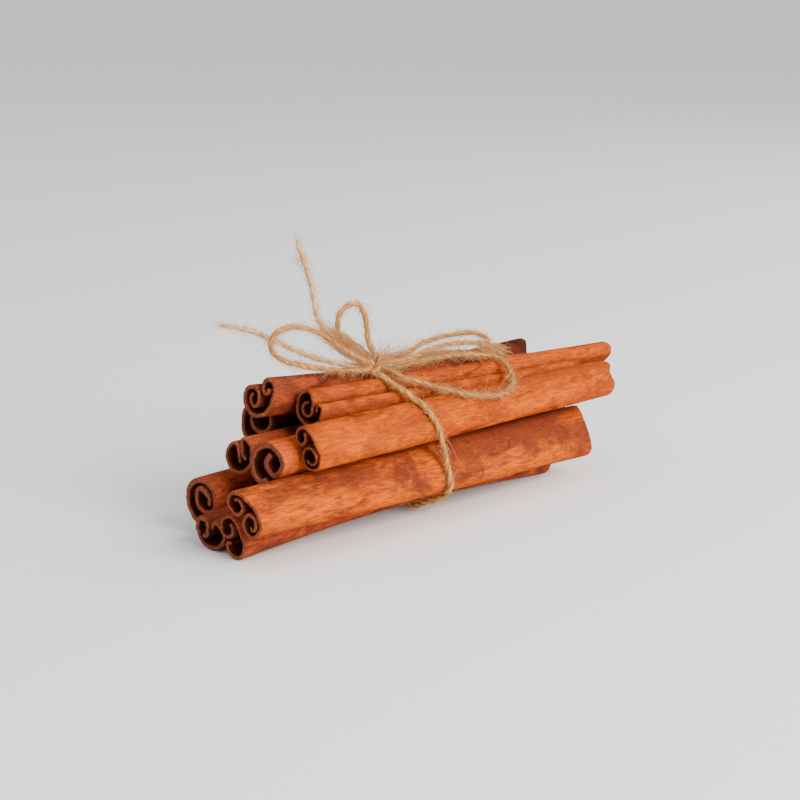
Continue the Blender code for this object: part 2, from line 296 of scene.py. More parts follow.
def jute_finish(name, pale, deep, contrast=1.0):
    """Jute twine: thin fibre streaks that follow the plies, paler on top, with painted shade in the grooves.
    """
    n = Nodes(name)
    grain = n.attribute("ply_grain")
    strand = n.noise(n.stretched(grain, (8.0, 8.0, 0.5)), detail=4.0, rough=0.65)
    patch = n.noise(n.stretched(grain, (0.8, 0.8, 0.45)), detail=3.0, rough=0.6)
    colour = n.mix(n.span(strand, 0.36, 0.62), deep, pale)
    colour = n.mix(n.scaled(n.span(patch, 0.42, 0.64), 0.6 * contrast), colour, JUTE_PATCH)
    # Painted shade in the grooves between the plies.
    groove = n.attribute("groove", "Fac")
    colour = n.mix(n.scaled(groove, 0.65 * contrast), colour, JUTE_GROOVE_SHADE)
    n.link(colour, "Base Color")
    n.gloss(roughness=0.9, specular=0.05)
    n.relief(strand, strength=1.0, distance=0.00018)
    return n.material


def fibre_finish(name):
    """Loose jute fibres: pale straw, a little different from one fibre to the next."""
    n = Nodes(name)
    tone = n.attribute("fibre_tone", "Fac")
    n.link(n.mix(tone, *JUTE_FIBRE), "Base Color")
    n.gloss(roughness=0.7, specular=0.15)
    return n.material


# ---------------------------------------------------------------- twine

def smooth_route(route, pieces=24):
    """Uniform cubic B-spline through the first and last point of the route and close by the others."""
    points = np.array(route, float)
    control = np.vstack([2 * points[0] - points[1], points, 2 * points[-1] - points[-2]])
    t = (np.arange(pieces) / pieces)[:, None]
    blend = [(1 - t) ** 3, 3 * t ** 3 - 6 * t ** 2 + 4, -3 * t ** 3 + 3 * t ** 2 + 3 * t + 1, t ** 3]
    weights = np.hstack(blend) / 6
    spans = np.stack([control[i:len(control) - 3 + i] for i in range(4)], axis=1)
    return np.vstack([np.einsum("tw,swc->stc", weights, spans).reshape(-1, 3), points[-1:]])


def even_line(points, gap):
    """The same line with points an even gap apart, its two ends kept, and the length at each point."""
    length = np.concatenate([[0], np.cumsum(np.linalg.norm(np.diff(points, axis=0), axis=1))])
    target = np.linspace(0, length[-1], max(8, int(round(length[-1] / gap))) + 1)
    return np.stack([np.interp(target, length, points[:, k]) for k in range(3)], axis=1), target


def carried_frames(line):
    """Tangent and two sideways directions along a line, carried from point to point without spin."""
    tangent = unit(np.gradient(line, axis=0))
    side = np.empty_like(line)
    start = np.cross(tangent[0], (0.31, 0.86, 0.40))
    side[0] = start / np.linalg.norm(start)
    for k in range(1, len(line)):
        moved = side[k - 1] - tangent[k] * np.dot(side[k - 1], tangent[k])
        side[k] = moved / np.linalg.norm(moved)
    return tangent, side, np.cross(tangent, side)


def twine_tube(name, points, diameter, seed, finish, fullness=0.92, thin_end=0.0, closed=False):
    """Two-ply twine along a line. At turn a from the plies' own direction the profile's radius is
    R (fullness - groove (1 - |cos a|)^1.4), the direction turns once a pitch, and fine ridges and slow
    swells of lattice noise are added. thin_end is the length over which the far end tapers. An open
    line wanders a little and is closed by a low tip at each end."""
    line, length = even_line(points, RING_GAP)
    if closed:
        line, length = line[:-1], length[:-1]
        total = length[-1] + RING_GAP
        turns = round(total / PITCH * 2) / 2
    else:
        total = length[-1]
        turns = total / PITCH
        inward = ease(np.minimum(length, total - length) / 3)
        wobble = np.stack([swing(length / 1.9, length * 0, seed + k) for k in (20, 21, 22)], axis=1)
        line = line + 0.09 * wobble * inward[:, None]
    tangent, side, rise = carried_frames(line)
    # Round a closed line the carried frame comes home turned, and this turn is undone along the way.
    home_turn = math.atan2(np.dot(side[-1], rise[0]), np.dot(side[-1], side[0])) if closed else 0.0
    undo = -home_turn * length / total
    slack = swing(length / 4.5, length * 0, seed + 3) * np.minimum(1, np.minimum(length, total - length) / 4)
    spin = math.tau * turns * length / total + 0.7 * slack

    angle = math.tau * np.arange(RING_SIDES) / RING_SIDES
    own = angle[None, :] - spin[:, None]
    lobes = np.abs(np.cos(own))
    along = np.broadcast_to(length[:, None], own.shape)
    ridges = swing(own / math.tau * 9 + along * 0.9, along / 1.6, seed, 9)
    swell = 0.6 * swing(own * 0, along / 1.5, seed + 1) + 0.6 * swing(own * 0, along / 5.3, seed + 7)
    hairs = swing(own / math.tau * 13 - along * 1.1, along / 0.8, seed + 2, 13)
    uneven = 1 + 0.17 * swell + 0.14 * ridges + 0.12 * hairs
    radius = diameter / 2 * (fullness - GROOVE * (1 - lobes) ** 1.4) * uneven
    if thin_end:
        taper = 0.35 + 0.65 * ease((total - length) / thin_end)
        radius = radius * taper[:, None]
    turn = angle[None, :] + undo[:, None]
    ring = (line[:, None, :] + radius[..., None] * (np.cos(turn)[..., None] * side[:, None, :]
                                                    + np.sin(turn)[..., None] * rise[:, None, :]))

    at = np.arange(len(line) * RING_SIDES).reshape(len(line), RING_SIDES)
    after = np.roll(at, -1, axis=1)
    vertices = ring.reshape(-1, 3)
    grain = np.stack([np.cos(own), np.sin(own), along], axis=-1).reshape(-1, 3)
    # How far down the groove between the plies each point lies, for the painted shade there.
    groove = ((1 - lobes) ** 2).reshape(-1)
    if closed:
        ahead, ahead_after = np.roll(at, -1, axis=0), np.roll(after, -1, axis=0)
        faces = np.stack([at, after, ahead_after, ahead], axis=-1).reshape(-1, 4).tolist()
    else:
        faces = np.stack([at[:-1], after[:-1], after[1:], at[1:]], axis=-1).reshape(-1, 4).tolist()
        first, last = len(vertices), len(vertices) + 1
        faces += [(first, int(b), int(a)) for a, b in zip(at[0], after[0])]
        faces += [(last, int(a), int(b)) for a, b in zip(at[-1], after[-1])]
        tips = np.stack([line[0] - tangent[0] * radius[0].mean() * 0.5,
                         line[-1] + tangent[-1] * radius[-1].mean() * 0.5])
        vertices = np.vstack([vertices, tips])
        grain = np.vstack([grain, [[0, 0, 0], [0, 0, total]]])
        groove = np.concatenate([groove, [0.5, 0.5]])
    attributes = [("ply_grain", "FLOAT_VECTOR", grain), ("groove", "FLOAT", groove)]
    return make_piece(name, vertices, faces, finish, attributes), line


def fibre_skins(starts, headings, bends, lengths, radii, joints, floor_z=None):
    """Loose fibres. Each runs from its start along its heading, which bends more and more, and thins to
    its tip. Its skin is a three-sided profile carried along that line, closed at both ends."""
    count = len(starts)
    step = np.linspace(0, 1, joints)
    curl = np.einsum("nc,j->njc", bends, step ** 1.3)
    direction = unit(headings[:, None, :] + curl)
    pace = lengths[:, None, None] / (joints - 1)
    walked = np.concatenate([np.zeros((count, 1, 3)), np.cumsum(direction[:, :-1] * pace, axis=1)], axis=1)
    line = starts[:, None, :] + walked
    if floor_z is not None:
        line[..., 2] = np.maximum(line[..., 2], floor_z)
    first = unit(np.cross(direction, np.array([0.37, 0.61, 0.70])))
    second = np.cross(direction, first)
    turn = math.tau * np.arange(FIBRE_SIDES) / FIBRE_SIDES
    thick = radii[:, None] * (1 - 0.65 * step[None, :])
    ring = (line[:, :, None, :] + thick[..., None, None]
            * (np.cos(turn)[None, None, :, None] * first[:, :, None, :]
               + np.sin(turn)[None, None, :, None] * second[:, :, None, :]))
    at = np.arange(count * joints * FIBRE_SIDES).reshape(count, joints, FIBRE_SIDES)
    after = np.roll(at, -1, axis=2)
    quads = np.stack([at[:, :-1], after[:, :-1], after[:, 1:], at[:, 1:]], axis=-1).reshape(-1, 4)
    caps = np.vstack([at[:, 0, ::-1], at[:, -1]])
    return ring.reshape(-1, 3), quads, caps


def spread_along(rng, line, places, out_low, out_high):
    """Starts, headings and outward directions of fibres at places (0 to 1) along a twine's line. Half
    of them point back along it."""
    tangent, side, rise = carried_frames(line)
    near = (np.clip(places, 0, 0.999) * (len(line) - 1)).astype(int)
    turn = rng.uniform(0, math.tau, len(places))
    outward = np.cos(turn)[:, None] * side[near] + np.sin(turn)[:, None] * rise[near]
    way = np.where(rng.random(len(places)) < 0.5, -1.0, 1.0)[:, None]
    heading = unit(tangent[near] * way + outward * rng.uniform(out_low, out_high, (len(places), 1)))
    return line[near], heading, outward


def line_length(line):
    """Length of a line of points."""
    return np.linalg.norm(np.diff(line, axis=0), axis=1).sum()


def fuzz(name, line, diameter, seed, finish, dense=30.0, stray=0.8, brush=0, brush_width=0.3, bunch=None,
         floor_z=None):
    """Fibres that stand off a twine. Many short ones lie close along it, a few long ones stray, a brush
    spreads from its end, and a bunch of loose fibres runs beside it along a route of its own. dense and
    stray are short and long fibres per millimetre."""
    rng = np.random.default_rng(seed)
    total = line_length(line)
    parts = []

    short = int(total * dense)
    start, heading, outward = spread_along(rng, line, rng.uniform(0.01, 0.99, short), 0.15, 1.1)
    bend = unit(rng.normal(size=(short, 3)) + outward * 0.3) * rng.uniform(0.2, 1.1, (short, 1))
    parts.append(dict(starts=start + outward * diameter * 0.38, headings=heading, bends=bend,
                      lengths=rng.gamma(2.2, 0.5, short) + 0.35,
                      radii=rng.uniform(0.018, 0.036, short), joints=5))

    long = max(2, int(total * stray))
    start, heading, outward = spread_along(rng, line, rng.uniform(0.03, 0.97, long), 0.25, 1.3)
    bend = unit(rng.normal(size=(long, 3))) * rng.uniform(0.5, 2.6, (long, 1))
    parts.append(dict(starts=start + outward * diameter * 0.36, headings=heading, bends=bend,
                      lengths=rng.gamma(2.6, 1.3, long) + 1.6,
                      radii=rng.uniform(0.022, 0.036, long), joints=12))

    if brush:
        tangent = carried_frames(line)[0][-1]
        spread = rng.normal(size=(brush, 3)) * brush_width
        start = line[-1] - tangent * rng.uniform(0, 2.0, (brush, 1))
        parts.append(dict(starts=start + rng.normal(size=(brush, 3)) * diameter * 0.22,
                          headings=unit(tangent + spread), bends=rng.normal(size=(brush, 3)) * 0.45,
                          lengths=rng.uniform(1.2, 4.2, brush),
                          radii=rng.uniform(0.02, 0.045, brush), joints=8))

    if bunch is not None:
        path, _ = even_line(smooth_route(np.array(bunch["route"]) / MM), 0.3)
        count = bunch["count"]
        place = rng.uniform(0.0, 0.8, count)
        near = (place * (len(path) - 1)).astype(int)
        tangent = unit(np.gradient(path, axis=0))[near]
        across = unit(np.cross(tangent, (0.0, 1.0, 0.0)))
        width = bunch["width"] * (0.25 + 0.75 * np.sin(math.pi * np.clip(place + 0.12, 0, 1)))
        away = across * (width * rng.uniform(-1, 1, count))[:, None] + rng.normal(size=(count, 3)) * 0.22
        heading = tangent + rng.normal(size=(count, 3)) * bunch.get("spread", 0.09)
        heading[:, 2] += bunch.get("lift", 0.0)
        parts.append(dict(starts=path[near] + away, headings=unit(heading),
                          bends=rng.normal(size=(count, 3)) * bunch.get("curl", 0.2),
                          lengths=rng.uniform(2.5, 7.0, count) * bunch.get("long", 1.0),
                          radii=rng.uniform(0.035, 0.08, count) * bunch.get("thick", 1.0), joints=9))

    points, faces, tones, base = [], [], [], 0
    for part in parts:
        skin, quads, caps = fibre_skins(**part, floor_z=floor_z)
        faces += (quads + base).tolist() + (caps + base).tolist()
        points.append(skin)
        tones.append(np.repeat(rng.random(len(part["starts"])), part["joints"] * FIBRE_SIDES))
        base += len(skin)
    attributes = [("fibre_tone", "FLOAT", np.concatenate(tones))]
    return make_piece(name, np.vstack(points), faces, finish, attributes)


# The bow's loops and loose ends: each one's diameter and its route from the knot outwards, in metres, and
# what its far end is. fullness is the share of the diameter that its own body fills, pale picks the paler
# jute, and thin_end is the length of its taper in millimetres. brush is the number of fibres at its end,
# brush_width how far they spread. bunch is a tuft of loose fibres beside it: their count, the tuft's width
# in millimetres, shares of their usual length and thickness (long, thick), how much they stray, rise and
# bend (spread, lift, curl), and the route that they start along.
CORDS = {
    "loop_right": dict(diameter=0.0011, far_end="object", fullness=0.8, route=[
        (-0.0132, -0.0046, 0.0309), (-0.0123, -0.0075, 0.0293), (-0.0079, -0.0089, 0.0277),
        (-0.0042, -0.0111, 0.0262), (-0.0008, -0.0137, 0.0249), (0.0045, -0.0147, 0.0236),
        (0.0088, -0.0152, 0.0229), (0.0125, -0.0151, 0.0229), (0.0159, -0.0142, 0.0239),
        (0.0181, -0.0123, 0.0252), (0.0214, -0.0081, 0.0262), (0.0217, -0.0065, 0.0274),
        (0.0205, -0.0054, 0.0287), (0.0170, -0.0038, 0.0293), (0.0113, -0.0030, 0.0301),
        (0.0052, -0.0026, 0.0302), (-0.0009, -0.0024, 0.0301), (-0.0068, -0.0021, 0.0300),
        (-0.0125, -0.0028, 0.0305)]),
    "loop_right_upper": dict(diameter=0.0010, far_end="object",
        bunch=dict(count=150, width=0.5, long=0.8, spread=0.8, lift=1.0, curl=1.0, thick=0.8, route=[
            (-0.0160, -0.0030, 0.0335), (-0.0120, -0.0028, 0.0326), (-0.0080, -0.0026, 0.0320),
            (-0.0030, -0.0022, 0.0326)]), route=[
        (-0.0132, -0.0026, 0.0331), (-0.0073, -0.0020, 0.0316), (-0.0018, -0.0012, 0.0330),
        (0.0041, -0.0004, 0.0338), (0.0101, 0.0000, 0.0339), (0.0162, 0.0008, 0.0335),
        (0.0206, 0.0011, 0.0330), (0.0236, 0.0009, 0.0320), (0.0249, 0.0002, 0.0304),
        (0.0236, -0.0008, 0.0289), (0.0204, -0.0016, 0.0286), (0.0160, -0.0020, 0.0293),
        (0.0112, -0.0016, 0.0305), (0.0055, -0.0012, 0.0309), (-0.0004, -0.0008, 0.0306),
        (-0.0128, -0.0012, 0.0320)]),
    "tail_right": dict(diameter=0.0010, far_end="bare", brush=40, brush_width=0.3,
        bunch=dict(count=170, width=1.3, long=0.6, route=[
            (0.0150, -0.0040, 0.0320), (0.0180, -0.0042, 0.0312), (0.0210, -0.0045, 0.0302),
            (0.0245, -0.0050, 0.0290)]), route=[
        (-0.0129, -0.0040, 0.0322), (-0.0085, -0.0042, 0.0316), (-0.0038, -0.0042, 0.0322),
        (0.0003, -0.0042, 0.0329), (0.0047, -0.0042, 0.0331), (0.0091, -0.0040, 0.0329),
        (0.0135, -0.0039, 0.0324), (0.0174, -0.0040, 0.0315), (0.0204, -0.0043, 0.0302),
        (0.0229, -0.0048, 0.0286)]),
    "loop_left": dict(diameter=0.0011, far_end="object", bunch=dict(count=620, width=2.0, route=[
        (-0.0165, -0.0030, 0.0322), (-0.0203, -0.0031, 0.0345), (-0.0243, -0.0032, 0.0371),
        (-0.0280, -0.0033, 0.0393), (-0.0312, -0.0035, 0.0407)]), route=[
        (-0.0183, -0.0038, 0.0328), (-0.0240, -0.0036, 0.0355), (-0.0278, -0.0034, 0.0382),
        (-0.0322, -0.0036, 0.0409), (-0.0374, -0.0043, 0.0428), (-0.0422, -0.0048, 0.0435),
        (-0.0458, -0.0048, 0.0428), (-0.0467, -0.0042, 0.0404), (-0.0445, -0.0034, 0.0378),
        (-0.0406, -0.0030, 0.0359), (-0.0361, -0.0029, 0.0345), (-0.0316, -0.0029, 0.0332),
        (-0.0270, -0.0034, 0.0324), (-0.0187, -0.0040, 0.0310)]),
    "tail_up": dict(diameter=0.0010, far_end="bare", brush=16, brush_width=0.22, pale=True, fullness=0.95,
        thin_end=1.5,
        bunch=dict(count=45, width=0.7, long=0.4, spread=0.9, curl=1.8, thick=0.5, route=[
            (-0.0314, 0.0012, 0.0545), (-0.0326, 0.0012, 0.0547), (-0.0338, 0.0012, 0.0552),
            (-0.0350, 0.0012, 0.0557)]), route=[
        (-0.0184, -0.0018, 0.0328), (-0.0217, -0.0011, 0.0352), (-0.0246, -0.0002, 0.0380),
        (-0.0275, 0.0000, 0.0405), (-0.0290, 0.0002, 0.0433), (-0.0294, 0.0006, 0.0466),
        (-0.0299, 0.0009, 0.0499), (-0.0308, 0.0011, 0.0532), (-0.0321, 0.0012, 0.0562),
        (-0.0335, 0.0011, 0.0590)]),
    "tail_left": dict(diameter=0.0009, far_end="bare", brush=26, brush_width=0.15, pale=True, route=[
        (-0.0193, -0.0026, 0.0316), (-0.0245, -0.0018, 0.0330), (-0.0293, -0.0009, 0.0344),
        (-0.0344, -0.0003, 0.0365), (-0.0390, 0.0006, 0.0390), (-0.0435, 0.0016, 0.0413),
        (-0.0479, 0.0026, 0.0432), (-0.0520, 0.0036, 0.0441)]),
    "loop_up": dict(diameter=0.0010, far_end="object", fullness=1.0, route=[
        (-0.0170, -0.0028, 0.0340), (-0.0218, -0.0024, 0.0360), (-0.0244, -0.0021, 0.0380),
        (-0.0257, -0.0022, 0.0401), (-0.0257, -0.0022, 0.0426), (-0.0241, -0.0024, 0.0446),
        (-0.0215, -0.0027, 0.0456), (-0.0188, -0.0029, 0.0444), (-0.0180, -0.0030, 0.0414),
        (-0.0176, -0.0030, 0.0387), (-0.0175, -0.0029, 0.0361), (-0.0152, -0.0033, 0.0340)]),
}


def add_cords(jute, pale_jute, fibre):
    """The bow: each loop and loose end and its fibres. Where a route meets the knot it runs on into it."""
    low, high = (np.array(corner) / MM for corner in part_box("knot"))
    heart = (low + high) / 2
    for number, (name, cord) in enumerate(CORDS.items()):
        points = np.array(cord["route"]) / MM
        loose = cord["far_end"] == "bare"
        near_tuck = [points[0] + TUCK * (heart - points[0])]
        far_tuck = [] if loose else [points[-1] + TUCK * (heart - points[-1])]
        route = smooth_route(np.vstack([near_tuck, points, *far_tuck]))
        diameter = cord["diameter"] / MM
        seed = 400 + 10 * number
        finish = pale_jute if "pale" in cord else jute
        piece, line = twine_tube(name + "_twine", route, diameter, seed, finish, cord.get("fullness", 0.9),
                                 cord.get("thin_end", 5.0 if loose else 0.0))
        fibres = fuzz(name + "_fibres", line, diameter, seed + 5, fibre, brush=cord.get("brush", 0),
                      brush_width=cord.get("brush_width", 0.3), bunch=cord.get("bunch"))
        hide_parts(name)


# ---------------------------------------------------------------- bark

# Each stick's section and looks. wall is the bark's thickness, heading the direction in degrees that the
# section starts in, and arcs its chain of arcs as (radius, turn in degrees). arch lifts the stick's middle
# and growth is how much wider its right end is. tone is its kind of bark, or a paler copy with painted
# light. The colour marks are (place round the section, place along the stick, reach round, reach along,
# amount), dark above zero and light below: some are staining of the bark, some are painted shade where a
# stick lies in another's shadow, and one is painted light on a lower side turned away from the lamps.
# rough_left and rough_right are how badly the ends are chipped, and break_right is how far the right end
# is broken back besides, at each place round the section.
STICKS = {
    "stick_top_back": dict(
        wall=1.0, heading=-22, growth=-0.15, tone="russet",
        arcs=[(1.35, -209), (2.1, -211), (3.4, -144), (6.8, -48), (1.5, -225), (0.75, -144)]),
    "stick_upper_back": dict(
        wall=1.1, heading=41, tone="dark",
        break_right=lambda arc: -3.3 * hill(arc, 10.8, 3.2),
        arcs=[(2.8, 26), (5.1, 93), (3.5, 132), (2.75, 126), (2.3, 54), (1.85, 39)]),
    "stick_top_front": dict(
        wall=0.85, heading=9, tone="warm",
        # The dark mark at 23 round the section is painted shade along the underside of the front roll, where
        # it sits on stick_upper_front.
        stains_and_painted_light=[(9.5, 78, 3.0, 24, -1.2), (25.5, 66, 2.0, 18, -0.9), (25, 84, 3.5, 10, -1.2),
                (26, 33, 1.6, 5, 0.7), (23, 74, 1.3, 24, 2.2)],
        break_right=lambda arc: (13.0 * ease((arc - 17) / 7) - 2.2 * hill(arc, 9.3, 2)
                                 - 1.2 * hill(arc, 12, 3) + 1.5 * hill(arc, 5.5, 1.5)),
        arcs=[(1.4, -270), (9.0, -17), (1.5, -101), (3.5, -255), (0.75, -172), (5.4, -7)]),
    "stick_middle_back": dict(
        wall=0.9, heading=93, tone="brown",
        arcs=[(9.0, -21), (0.75, -87), (2.95, -172), (3.75, -138), (0.75, -128), (9.0, -14), (1.5, -55)]),
    "stick_middle": dict(
        # Its tone is a paler copy of the orange bark: painted light for a stick in shade.
        wall=1.5, heading=-48, tone="orange_with_painted_light",
        arcs=[(1.6, 86), (4.05, 177), (5.6, 12), (2.65, 118), (1.1, 28), (2.2, 135)]),
    "stick_upper_front": dict(
        wall=0.8, heading=-135, growth=-0.13, tone="bright",
        # The dark mark at 10.3 round the section is painted shade along the top, under the front roll of
        # stick_top_front.
        stains_and_painted_light=[(13, 30, 2.2, 9, 0.7), (15.5, 70, 1.5, 15, -0.8), (15, 12, 2.2, 8, -0.6),
                (13, 55, 1.5, 8, 0.4), (18, 90, 2.0, 6, 0.5), (10.3, 78, 0.9, 30, 2.2)],
        rough_right=1.0,
        break_right=lambda arc: -2.1 * hill(arc, 10.6, 1.5) - 0.6 * hill(arc, 16, 2),
        arcs=[(1.4, 235), (2.25, 116), (9.1, 35), (2.5, 198), (1.95, 185), (1.35, 148)]),
    "stick_lower_back": dict(
        wall=1.25, heading=25, tone="brown",
        arcs=[(5.35, 58), (3.9, 207), (1.5, 43), (2.85, 149), (1.05, 64), (2.35, 103)]),
    "stick_bottom_back": dict(
        wall=1.1, heading=199, arch=2.0, tone="brown",
        arcs=[(0.75, -101), (4.05, -19), (1.6, -179), (4.4, -103), (2.7, -127), (1.15, -121)]),
    "stick_bottom_front": dict(
        wall=0.9, heading=-173, arch=2.0, tone="brown",
        arcs=[(1.0, 111), (1.85, 154), (2.3, 135), (9.0, 32), (2.4, 179), (0.75, 131)]),
    "stick_lower_front": dict(
        wall=0.9, heading=-224, growth=0.155, tone="orange", rough_left=1.5,
        # The dark marks at 16.3 and 13.2 round the section are a painted shadow cast by stick_upper_front
        # and painted shade along the top beneath it; the light mark at 23.6 is painted light on the lower
        # side, which faces down, away from the lamps.
        stains_and_painted_light=[(16.3, 77, 3.2, 15, 1.5), (13.2, 72, 1.6, 24, 1.8), (23.6, 80, 2.0, 14, -2.4),
                (21.5, 11, 3.0, 9, -1.0), (17.0, 27, 2.8, 6, 1.1), (19, 51, 5, 2.8, -0.8),
                (19, 45.0, 4.5, 1.5, 1.1), (18, 57, 4, 1.6, 0.9), (24, 36, 1.6, 9, -1.0),
                (20, 98, 3, 2.5, 0.7)],
        break_right=lambda arc: -3.2 * hill(arc, 14.0, 3.2) - 1.8 * hill(arc, 12.5, 1.2),
        arcs=[(1.5, 205), (2.15, 213), (9.3, 46), (2.4, 218), (1.75, 201), (0.75, 133)]),
}


def stick_ends(node):
    """Middle of a CAD stick's left and right cut, in millimetres: the middle of the box round the
    mesh's points within 2 mm of each end."""
    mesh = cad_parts[node].data
    points = np.empty(len(mesh.vertices) * 3, np.float32)
    mesh.vertices.foreach_get("co", points)
    points = points.reshape(-1, 3).astype(float) / MM
    ends = []
    for near in (points[:, 0] < points[:, 0].min() + 2, points[:, 0] > points[:, 0].max() - 2):
        cut = points[near]
        ends.append((cut.min(axis=0) + cut.max(axis=0)) / 2)
    return ends


def section_steps(arcs):
    """Lengths and turns of the short steps that make up a chain of arcs."""
    lengths, turns = [], []
    for radius, turn in arcs:
        long = radius * math.radians(abs(turn))
        steps = int(max(abs(turn) / ARC_TURN, long / ARC_LENGTH, 1)) + 1
        lengths.append(np.full(steps, long / steps))
        turns.append(np.full(steps, math.radians(turn) / steps))
    return np.concatenate(lengths), np.concatenate(turns)


def rolled_section(stick, place, seed):
    """The section's middle line at each place along a stick, the normal along it and the length round
    it. Steps of length l turn the heading, and the running sum of the steps is the line. The roll is a
    little tighter or looser from place to place."""
    lengths, turns = section_steps(stick["arcs"])
    tighter = 1 + 0.02 * swing(place / 24, place * 0, seed) * ease(place / 20)
    running = np.concatenate([[0], np.cumsum(turns)])
    heading = (math.radians(stick["heading"]) + running[None, :] * tighter[:, None]
               + running[-1] * (1 - tighter[:, None]) / 2)
    middle = (heading[:, 1:] + heading[:, :-1]) / 2
    zero = np.zeros((len(place), 1))
    y = np.hstack([zero, np.cumsum(lengths * np.cos(middle), axis=1)])
    z = np.hstack([zero, np.cumsum(lengths * np.sin(middle), axis=1)])
    arc = np.concatenate([[0], np.cumsum(lengths)])
    return y, z, -np.sin(heading), np.cos(heading), arc


def bark_relief(s, x, seed):
    """Height of the outer skin, height of the inner skin, and depth of the creases from 0 to 1, at s
    round the section and x along the stick. The outer skin has dents, long folds and fine ridges, and
    creases where another noise passes zero."""
    dents = 0.12 * swing(s / 7, x / 26, seed + 10)
    folds = 0.075 * swing(s / 1.9 + 0.8 * swing(s / 5, x / 20, seed + 3), x / 17, seed + 11)
    fine = 0.035 * swing(s / 0.8, x / 6, seed + 12)
    level = np.abs(swing(s / 3.1 + 0.3 * swing(s / 2, x / 9, seed + 4), x / 22, seed + 13))
    patchy = ease((lattice_noise(s / 6, x / 12, seed + 14) - 0.42) / 0.25)
    crease = np.clip(1 - level / 0.055, 0, 1) * patchy
    outer = dents + folds + fine - 0.11 * crease - 0.04
    inner = 0.05 * swing(s / 1.5, x / 11, seed + 15) + 0.02 * swing(s / 0.7, x / 3, seed + 16)
    return outer, inner, crease


def stain_and_painted_light_amount(stains_and_painted_light, s, x, seed):
    """The sum of the colour marks, each of them amount times e to the power -(distance / reach)^2, with
    places that wander, so that the marks have ragged edges. Some are staining of the bark, and some are
    painted shade and painted light."""
    wander_s = s + 1.1 * swing(s / 2.2, x / 3.5, seed + 5)
    wander_x = x + 3.0 * swing(s / 2.6, x / 5.0, seed + 6)
    total = np.zeros_like(s)
    for arc, place, arc_reach, place_reach, amount in stains_and_painted_light:
        total += amount * np.exp(-((wander_s - arc) / arc_reach) ** 2
                                 - ((wander_x - place) / place_reach) ** 2)
    return total


def chips(arc, seed, rough):
    """How far an end is broken back at each place round the section: a slow wave and small bites."""
    slow = 0.5 * lattice_noise(arc / 6.5, arc * 0, seed)
    bites = 0.35 * lattice_noise(arc / 1.3, arc * 0, seed + 1) ** 2
    crumbs = 0.16 * lattice_noise(arc / 0.45, arc * 0, seed + 2)
    return rough * (slow + bites + crumbs - 0.45)


def broken_ends(stick, place, arc, seed):
    """Place along the stick of every point of a grid, one row a section and one column a place round it.
    At each end a row is moved in by the chips, and less and less further in, over 8 mm or three times
    the chip if that is more."""
    long = place[-1]
    along = np.repeat(place[:, None], len(arc), axis=1)
    left_shift = chips(arc, seed + 20, stick.get("rough_left", 1.0))
    right_shift = chips(arc, seed + 30, stick.get("rough_right", 1.6))
    if "break_right" in stick:
        right_shift = right_shift + stick["break_right"](arc)
    for shift, away, inward in ((left_shift, place, 1), (right_shift, long - place, -1)):
        reach = np.maximum(8.0, 3 * np.abs(shift))
        along = along + inward * shift * np.clip(1 - away[:, None] / reach, 0, 1) ** 2
    return along


def round_loop(upper, far_lip, lower, near_lip):
    """One value for each point of a section's loop: along the upper face, round the far lip, back along
    the lower face, and round the near lip."""
    return np.concatenate([upper, np.full(LIP_POINTS, far_lip), lower, np.full(LIP_POINTS, near_lip)])


def end_faces(ring, base, n, flip):
    """Faces over one cut end: from both faces of the bark in to the middle line's n points, which start
    at base, and round both lips."""
    mid = base + np.arange(n)
    upper, lower = ring[:n], ring[n + LIP_POINTS:2 * n + LIP_POINTS][::-1]
    strip = np.stack([upper[:-1], upper[1:], mid[1:], mid[:-1]], axis=-1).tolist()
    strip += np.stack([mid[:-1], mid[1:], lower[1:], lower[:-1]], axis=-1).tolist()
    far_lip = np.concatenate([[upper[-1]], ring[n:n + LIP_POINTS], [lower[-1]]])
    near_lip = np.concatenate([[lower[0]], ring[2 * n + LIP_POINTS:], [upper[0]]])
    strip += [(int(mid[-1]), int(a), int(b)) for a, b in zip(far_lip[:-1], far_lip[1:])]
    strip += [(int(mid[0]), int(a), int(b)) for a, b in zip(near_lip[:-1], near_lip[1:])]
    return [tuple(face[::-1]) if flip else tuple(face) for face in strip]


def tucked_in(loop_y, loop_z):
    """How far inside the roll each point of a section lies, from 0 to 1: the least, over many directions,
    of how far it falls short of the section's furthest reach that way."""
    directions = 72
    turn = np.arange(directions) * math.tau / directions
    reached = np.stack([loop_y, loop_z], axis=1) @ np.stack([np.cos(turn), np.sin(turn)])
    return ease(((reached.max(axis=0) - reached).min(axis=1) - 0.7) / 1.2)


